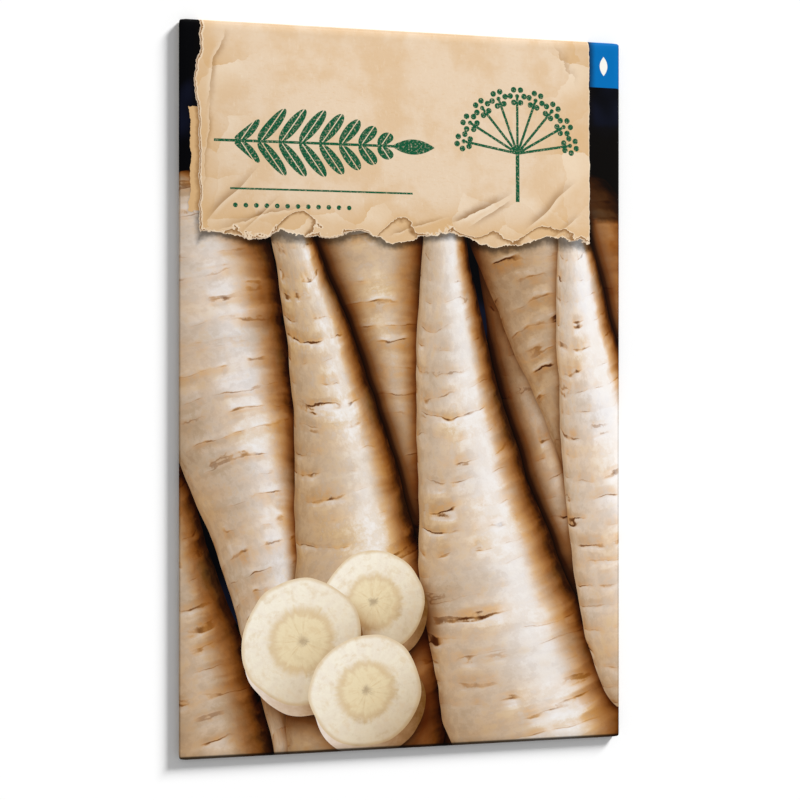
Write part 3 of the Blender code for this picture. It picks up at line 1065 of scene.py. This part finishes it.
def label(place, colours, kraft, leaf):
    """The torn kraft label: its colour, where it lies and its shadow on the picture."""
    x, y, _ = split(place)
    sway, drift, lap = split(cloud(place, 0.065, detail=1.0, dimensions="2D", output=1))
    tear = cloud(place, 0.36, detail=3.0, roughness=0.55, dimensions="2D")
    fray = cloud(place, 1.7, detail=3.0, roughness=0.6, dimensions="2D")
    ragged = (tear - 0.5) * 1.7 + (fray - 0.5) * 0.45
    to_bottom = y - LABEL_BOTTOM + (sway - 0.5) * 7.0 + ragged
    to_left = x - LABEL_LEFT + (drift - 0.5) * 4.0 + ragged * 0.7
    to_right = LABEL_RIGHT - x + ragged * 0.4
    inside = to_bottom.least(to_left).least(to_right)
    upper = to_bottom - 0.35 - (lap - 0.49).most(0.0) * 38.0 + ragged * 0.9
    upper = upper.least(to_left - 0.4)
    paper = kraft.use(place=place, crumpled=inside.rise(13.0, 1.0) * 1.2 + 0.06)
    paper = blend(inside.rise(10.0, 0.0) * 0.40, paper, colours.kraft_deep)
    bent = vector(x + (tear - 0.5) * 2.0 + sway * 3.0, y + (tear - 0.5) * 2.0 + drift * 2.0)
    paper = creased(bent, paper, colours)
    folded_back = blend(upper.rise(-5.0, 0.0) * 0.60, paper, colours.kraft_deep)
    folded_back = blend(upper.rise(-2.0, 0.0) * 0.90, folded_back, colours.kraft_fold)
    upper_paper = blend(upper.rise(4.0, 0.3) * 0.45, paper, colours.kraft_deep)
    upper_paper = blend(upper.rise(0.40, 0.15) * 0.5, upper_paper, colours.kraft_core)
    paper = blend(upper > 0.0, folded_back, upper_paper)
    paper = blend(inside.rise(0.30, 0.10) * 0.5, paper, colours.kraft_core)
    paper = stamped(place, paper, stamps(place, leaf), colours)
    to_rows = (y + ragged - LAYER_ROWS[0]).least(LAYER_ROWS[1] - y - ragged)
    beside = to_rows.least(to_left + LAYER_WIDTH + sway * 0.8)
    layer = blend(to_left.rise(-1.3, 0.0) * 0.75, colours.kraft_deep, colours.kraft_fold)
    paper = blend(inside > 0.0, layer, paper)
    inside = inside.most(beside * (to_left < 0.0))
    shadow_edge = (to_bottom + 1.0).least(to_left + 0.2).least(to_right + 0.6).most(beside - 0.6)
    return {"colour": paper, "inside": inside > 0.0, "shadow": shadow_edge.rise(-1.3, 0.6)}


# The back's print, in millimetres from the middle of the back panel.
BACK_FRAME = ((0.0, -3.0), (44.0, 57.5))
BACK_NOTE = ((0.0, 27.0), (38.0, 22.0))
BACK_NOTE_ROW = 7.0
BACK_MONTHS = (((0.0, -10.0), (37.2, 3.0), (0.16, 0.42)), ((0.0, -18.5), (37.2, 3.0), (0.66, 0.92)))
BACK_SPRIG = (-21.0, -40.0, 0.0)


def back_print(place, colours, kraft, leaf):
    """The back: kraft with a frame, a ruled note panel, two rows of twelve plain boxes and a sprig."""
    x, y, _ = split(place)
    paper = kraft.use(place=place, crumpled=0.25)
    frame = box_depth(x, y, *BACK_FRAME)
    note = box_depth(x, y, *BACK_NOTE)
    paper = blend((note > 0.0) * 0.55, paper, colours.kraft_core)
    row = abs(((y / BACK_NOTE_ROW).fract() - 0.5) * BACK_NOTE_ROW)
    mask = (abs(frame) < 0.22).most(abs(note) < 0.16).most((row < 0.10) * (note > 3.0))
    for centre, half, (start, end) in BACK_MONTHS:
        depth = box_depth(x, y, centre, half)
        across = (x - centre[0] + half[0]) / (2 * half[0])
        cell_edge = abs((across * 12).fract() - 0.5) > 0.485
        tinted = between(across, start, end) * (depth > 0.0)
        paper = blend(tinted * 0.45, paper, colours.ink)
        mask = mask.most((depth > 0.0) * cell_edge).most(abs(depth) < 0.14)
    mask = mask.most(leaf.use(place=moved(place, BACK_SPRIG)))
    return stamped(place, paper, mask, colours)


# The printed shade under the label, the painted shade past the folds, and how little the coated paper
# reflects.
DEEP_SHADE = srgb(8, 5, 3)
COAT_SPECULAR = 0.03


class Print:
    """The print on both sides of the packet, and the groups that its two materials share."""

    def __init__(self, net, colours):
        self.net = net
        self.colours = colours
        self.kraft = Group("kraft_paper", partial(kraft_paper, colours=colours), values=("crumpled",))
        self.leaf = Group("sprig", sprig)

    def coated(self, name, draw, middle):
        """Coated paper with what a function draws, its places measured from a middle across the net."""
        material, tree = new_material(name)
        place = moved(net_place(tree, self.net), (middle, 0.0, 0.0))
        mottle = cloud(place, 1.6, detail=3.0, roughness=0.6, dimensions="2D")
        roughness = self.colours.roughness + (mottle - 0.5) * 0.12
        fixed = {"Specular_IOR_Level": COAT_SPECULAR}
        finish_surface(tree, draw(place), roughness, height=mottle, relief=0.00001, **fixed)
        return material

    def draw_front(self, place):
        """The picture, a tab with one grain in the top corner, the label over both, and painted shade
        past the folds.
        """
        x, y, _ = split(place)
        colours = self.colours
        shared = {"colours": colours, "kraft": self.kraft, "leaf": self.leaf}
        under = Group("picture", partial(picture, colours=colours))
        over = Group("label", partial(label, **shared))
        paper, inside, shadow = over.use(place=place)
        base = under.use(place=place)
        base = blend((x > TAB_LEFT) * (y > TAB_BOTTOM), base, colours.tab)
        up_grain = (y - GRAIN[1]) / GRAIN_REACH[1]
        grain = abs(x - GRAIN[0]) < (1 - up_grain * up_grain) * GRAIN_REACH[0]
        base = blend(grain, base, colours.bare_paper)
        base = blend(shadow * 0.75, base, DEEP_SHADE)
        whole = blend(inside, base, paper)
        # Painted shade: the print darkens towards the right, top and bottom folds.
        painted_shade_right = (x - self.net.right / MM).rise(-0.1, 0.35) * 0.5
        painted_shade_top = (y - self.net.end / MM).rise(0.0, 0.45) * 0.25
        painted_shade_bottom = (y + self.net.end / MM).rise(0.15, -0.30) * 0.85
        return blend(painted_shade_right.most(painted_shade_top).most(painted_shade_bottom), whole, DEEP_SHADE)

    def front(self):
        """The front's finish, measured from the middle of the net."""
        return self.coated("printed_front", self.draw_front, 0.0)

    def back(self):
        """The back's finish, measured from half the packet's width past the right fold."""
        middle = self.net.right + math.pi * self.net.back_fold + self.net.sheet.width / 2
        draw = partial(back_print, colours=self.colours, kraft=self.kraft, leaf=self.leaf)
        return self.coated("printed_back", draw, middle / MM)


def object_place(tree):
    """The place on an object, in millimetres."""
    coordinates = Wire.node(tree, "ShaderNodeTexCoord", {}, {}, output=3)
    sockets = {"Vector": coordinates, "Scale": (1 / MM, 1 / MM, 1 / MM)}
    return Wire.node(tree, "ShaderNodeMapping", {"vector_type": "POINT"}, sockets)


def plain_paper(name, shade, grain_scale):
    """Uncoated paper with its fibres, on the inside and on the cut edges."""
    material, tree = new_material(name)
    fibres = cloud(object_place(tree), grain_scale, detail=4.0, roughness=0.7)
    base = blend(fibres.rise(0.35, 0.7) * 0.35, shade, tuple(0.86 * c for c in shade))
    finish_surface(tree, base, 0.82 + (fibres - 0.5) * 0.1, height=fibres, relief=0.00002)
    return material


# Bubbles in the glue: their pitch in millimetres.
BUBBLE_PITCH = 1.4


def dried_glue(name, shade, streak):
    """Dried glue: a cream film in thick and thin clouds, with brushed streaks and small bubbles."""
    material, tree = new_material(name)
    place = object_place(tree)
    x, y, _ = split(place)
    clouds = cloud(place, 0.22, detail=3.0, roughness=0.6)
    brushed = cloud(vector(x * streak[0], y * streak[1]), 1.0, detail=3.0, roughness=0.65)
    (chance, large, _), (near_x, near_y, _) = cells(vector(x / BUBBLE_PITCH, y / BUBBLE_PITCH))
    from_bubble = span(x / BUBBLE_PITCH - near_x, y / BUBBLE_PITCH - near_y)
    bubble = from_bubble.rise(0.10 + large * 0.14, 0.05) * (chance > 0.55)
    base = blend(clouds.rise(0.38, 0.64) * 0.5, shade, tuple(0.72 * c for c in shade))
    base = blend(brushed.rise(0.48, 0.66) * 0.35, base, srgb(244, 238, 220))
    base = blend(bubble * 0.45, base, srgb(250, 247, 236))
    height = clouds * 0.4 + brushed * 0.4 + bubble * 0.6
    finish_surface(tree, base, 0.34 + brushed * 0.25, height=height, relief=0.00003)
    return material


# Part of its tile of the layout that a seed fills.
SEED_TILE = 0.9

# A seed's thin rim: where it starts, how wide its slope is and the share of thickness it loses.
RIM_START = 0.70
RIM_SLOPE = 0.16
RIM_LOSS = 0.45


def seed_husk(seeds):
    """Dry husk: a ribbed brown middle with dark lines between its ribs, in a pale thin rim."""
    material, tree = new_material("seed_husk")
    layout_u, layout_v, _ = split(Wire.node(tree, "ShaderNodeUVMap", {"uv_map": "seed"}, {}))
    number = layout_u.math("FLOOR")
    x = (layout_u.fract() - 0.5) * (2 / SEED_TILE)
    y = (layout_v - 0.5) * (2 / SEED_TILE)
    radius = span(x, y)
    grain = cloud(vector(x * 0.7, y * 2.0, number), 2.6, detail=4.0, roughness=0.65)
    bowed = y / (1.1 - x * x * 0.65) + (grain - 0.5) * 0.06
    rib = (bowed * 2.5 + 0.5).math("PINGPONG", 0.5) * 2
    middle = radius.rise(0.86, 0.74)
    line = rib.rise(0.30, 0.05) * middle * x.rise(0.75, 0.45)
    base = blend(grain.rise(0.35, 0.65) * 0.5, seeds.husk, tuple(0.62 * c for c in seeds.husk))
    base = blend(rib.rise(0.72, 0.95) * 0.45, base, seeds.wing)
    base = blend(line * 0.85, base, seeds.oil_line)
    base = blend((1 - middle) * 0.8, base, seeds.wing)
    varied = (number * 0.618).fract() * 0.35
    base = blend(varied, base, seeds.oil_line)
    height = rib * middle * 0.6 + grain * 0.4
    finish_surface(tree, base, 0.62 + grain * 0.2, height=height, relief=0.00006)
    return material


def seed_pile(seeds):
    """Centres of the seeds: two layers of one triangular pattern, inside an oval."""
    row_pitch = seeds.pitch * math.sqrt(3) / 2
    reach = math.ceil(seeds.pile_height / 2 / row_pitch) + 1
    for layer, height in enumerate((seeds.lower_layer, seeds.upper_layer)):
        for row in range(-reach, reach + 1):
            for column in range(-reach, reach + 1):
                x = (column + row / 2) * seeds.pitch
                y = row * row_pitch + layer * seeds.pitch / math.sqrt(3)
                if math.hypot(2 * x / seeds.pile_width, 2 * y / seeds.pile_height) < 1:
                    yield Vector((x, y - seeds.pile_drop, height))


def winged(vertex):
    """A place on a ball pressed to a lens with a thin rim."""
    radius = min(1.0, math.hypot(vertex.x, vertex.y))
    past = min(1.0, max(0.0, (radius - RIM_START) / RIM_SLOPE))
    thinner = 1 - RIM_LOSS * past * past * (3 - 2 * past)
    return Vector((vertex.x, vertex.y, vertex.z * thinner))


def laid_seed(seeds, draw, place):
    """Where a seed lies, with its size, tilt, turn and shift each a little at random."""
    size = 1 + draw.uniform(-seeds.spread, seeds.spread)
    tilt = [draw.uniform(-seeds.tilt, seeds.tilt) for _ in range(2)]
    turn = Euler((*tilt, draw.uniform(0, math.pi))).to_matrix().to_4x4()
    shift = [draw.uniform(-seeds.jitter, seeds.jitter) for _ in range(2)]
    oval = Matrix.Diagonal((seeds.long / 2 * size, seeds.wide / 2 * size, seeds.thick / 2, 1))
    return Matrix.Translation(place + Vector((*shift, 0.0))) @ turn @ oval


def seed_mesh(seeds):
    """All the seeds, with a tile of the layout for each."""
    draw = random.Random(seeds.draw)
    pile = bmesh.new()
    one = bpy.data.meshes.new("one_seed")
    for number, place in enumerate(seed_pile(seeds)):
        laid = laid_seed(seeds, draw, place)
        seed = bmesh.new()
        bmesh.ops.create_uvsphere(seed, u_segments=24, v_segments=10, radius=1.0)
        uv = seed.loops.layers.uv.new("seed")
        for face in seed.faces:
            face.smooth = True
            for loop in face.loops:
                local = loop.vert.co * (SEED_TILE / 2)
                loop[uv].uv = (number + 0.5 + local.x, 0.5 + local.y)
        for vertex in seed.verts:
            vertex.co = laid @ winged(vertex.co)
        seed.to_mesh(one)
        seed.free()
        pile.from_mesh(one)
    bpy.data.meshes.remove(one)
    mesh = bpy.data.meshes.new("loose_seeds")
    pile.to_mesh(mesh)
    pile.free()
    return mesh


class SEEDPACKET_OT_envelope(bpy.types.Operator):
    """Fold and print the paper envelope"""

    bl_idname = "seedpacket.envelope"
    bl_label = "Paper envelope"

    def execute(self, context):
        sheet = context.scene.seedpacket_sheet
        colours = context.scene.seedpacket_print
        net = Net(sheet)
        envelope = thickened(folded_sheet(net), sheet.paper)
        printed = Print(net, colours)
        finishes = (
            printed.front(),
            printed.back(),
            plain_paper("bare_inside", colours.bare_paper, 2.5),
            plain_paper("cut_edge", colours.bare_paper, 6.0),
        )
        for finish in finishes:
            envelope.data.materials.append(finish)
        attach(envelope, "root")
        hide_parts("paper_envelope")
        return {"FINISHED"}


# The glue's CAD nodes, each with how closely its streaks lie across the sheet and along it.
GLUE_NODES = {
    "glue_side_seam": (2.4, 0.22),
    "glue_top_flap": (0.22, 2.4),
    "glue_bottom_flap": (0.22, 2.4),
}


class SEEDPACKET_OT_glue(bpy.types.Operator):
    """Give the lines of glue their dried film"""

    bl_idname = "seedpacket.glue"
    bl_label = "Glue"

    def execute(self, context):
        shade = tuple(context.scene.seedpacket_sheet.glue)
        for name, streak in GLUE_NODES.items():
            film = dried_glue(name, shade, streak)
            for place in frame["nodes"][name].material_slots:
                place.material = film
        return {"FINISHED"}


class SEEDPACKET_OT_seeds(bpy.types.Operator):
    """Lay the loose seeds in their pile"""

    bl_idname = "seedpacket.seeds"
    bl_label = "Seeds"

    def execute(self, context):
        seeds = context.scene.seedpacket_seeds
        pile = add_object("loose_seeds", seed_mesh(seeds))
        pile.data.materials.append(seed_husk(seeds))
        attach(pile, "root")
        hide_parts("seeds")
        return {"FINISHED"}


# Where the key light comes from: low, from beyond the packet's top right corner.
KEY_DIRECTION = (0.80, 0.85, 0.42)
WHITE = (1.0, 1.0, 1.0, 1.0)

# The height of the middle of the front, and sizes of the camera and the floor.
MIDDLE_HEIGHT = 0.00175
SENSOR_WIDTH = 36.0
CLIP_START = 0.01
FLOOR_REACH = 4.0
FLOOR_ROUGHNESS = 0.9


def add_camera(stage):
    """The camera, turned about the packet's long axis and aimed near the middle of the front."""
    centre = Vector((0.0, 0.0, MIDDLE_HEIGHT))
    right = Vector((math.cos(stage.turn), 0.0, -math.sin(stage.turn)))
    up = Vector((0.0, 1.0, 0.0))
    back = right.cross(up)
    lens = bpy.data.cameras.new("camera")
    lens.lens = stage.lens
    lens.sensor_width = SENSOR_WIDTH
    lens.clip_start = CLIP_START
    spot = centre + right * stage.aim_right + up * stage.aim_up + back * stage.distance
    axes = Matrix((right, up, back)).transposed().to_4x4()
    camera = add_object("camera", lens)
    camera.matrix_world = Matrix.Translation(spot) @ axes
    bpy.context.scene.camera = camera


def add_floor(stage):
    """The plain floor that the packet lies on."""
    mesh = bpy.data.meshes.new("floor")
    built = bmesh.new()
    bmesh.ops.create_grid(built, x_segments=1, y_segments=1, size=FLOOR_REACH)
    built.to_mesh(mesh)
    built.free()
    material, tree = new_material("floor")
    finish_surface(tree, (*stage.floor, 1.0), FLOOR_ROUGHNESS)
    mesh.materials.append(material)
    add_object("floor", mesh)


def add_light(stage):
    """An even white sky, and one soft key light."""
    world = bpy.data.worlds.new("studio")
    world.use_nodes = True
    sky = world.node_tree.nodes["Background"].inputs
    sky["Color"].default_value = WHITE
    sky["Strength"].default_value = stage.sky
    bpy.context.scene.world = world
    key = bpy.data.lights.new("key", "SUN")
    key.energy = stage.key
    key.angle = stage.key_spread
    lamp = add_object("key", key)
    lamp.matrix_world = Vector(KEY_DIRECTION).to_track_quat("Z", "Y").to_matrix().to_4x4()


class SEEDPACKET_OT_stage(bpy.types.Operator):
    """Set the floor, the lights and the camera"""

    bl_idname = "seedpacket.stage"
    bl_label = "Stage"

    def execute(self, context):
        stage = context.scene.seedpacket_stage
        add_camera(stage)
        add_floor(stage)
        add_light(stage)
        context.scene.view_settings.view_transform = "Standard"
        return {"FINISHED"}


class SEEDPACKET_PT_panel(bpy.types.Panel):
    """Lists the packet's pieces and its sizes"""

    bl_idname = "SEEDPACKET_PT_panel"
    bl_label = "Seed packet"
    bl_space_type = "VIEW_3D"
    bl_region_type = "UI"
    bl_category = "Seed packet"

    def draw(self, context):
        for step in OPERATORS:
            self.layout.operator(step.bl_idname)
        for name, group in GROUPS.items():
            fields = self.layout.box()
            for field in group.__annotations__:
                fields.prop(getattr(context.scene, name), field)


OPERATORS = (SEEDPACKET_OT_envelope, SEEDPACKET_OT_glue, SEEDPACKET_OT_seeds, SEEDPACKET_OT_stage)
GROUPS = {
    "seedpacket_sheet": PacketSheet,
    "seedpacket_print": PacketPrint,
    "seedpacket_seeds": PacketSeeds,
    "seedpacket_stage": PacketStage,
}


def register():
    for added in (*GROUPS.values(), *OPERATORS, SEEDPACKET_PT_panel):
        bpy.utils.register_class(added)
    for name, group in GROUPS.items():
        setattr(bpy.types.Scene, name, PointerProperty(type=group))


def unregister():
    for name in GROUPS:
        delattr(bpy.types.Scene, name)
    for added in reversed((*GROUPS.values(), *OPERATORS, SEEDPACKET_PT_panel)):
        bpy.utils.unregister_class(added)


def main():
    register()
    bpy.ops.seedpacket.envelope()
    bpy.ops.seedpacket.glue()
    bpy.ops.seedpacket.seeds()
    bpy.ops.seedpacket.stage()


if __name__ == "__main__":
    main()
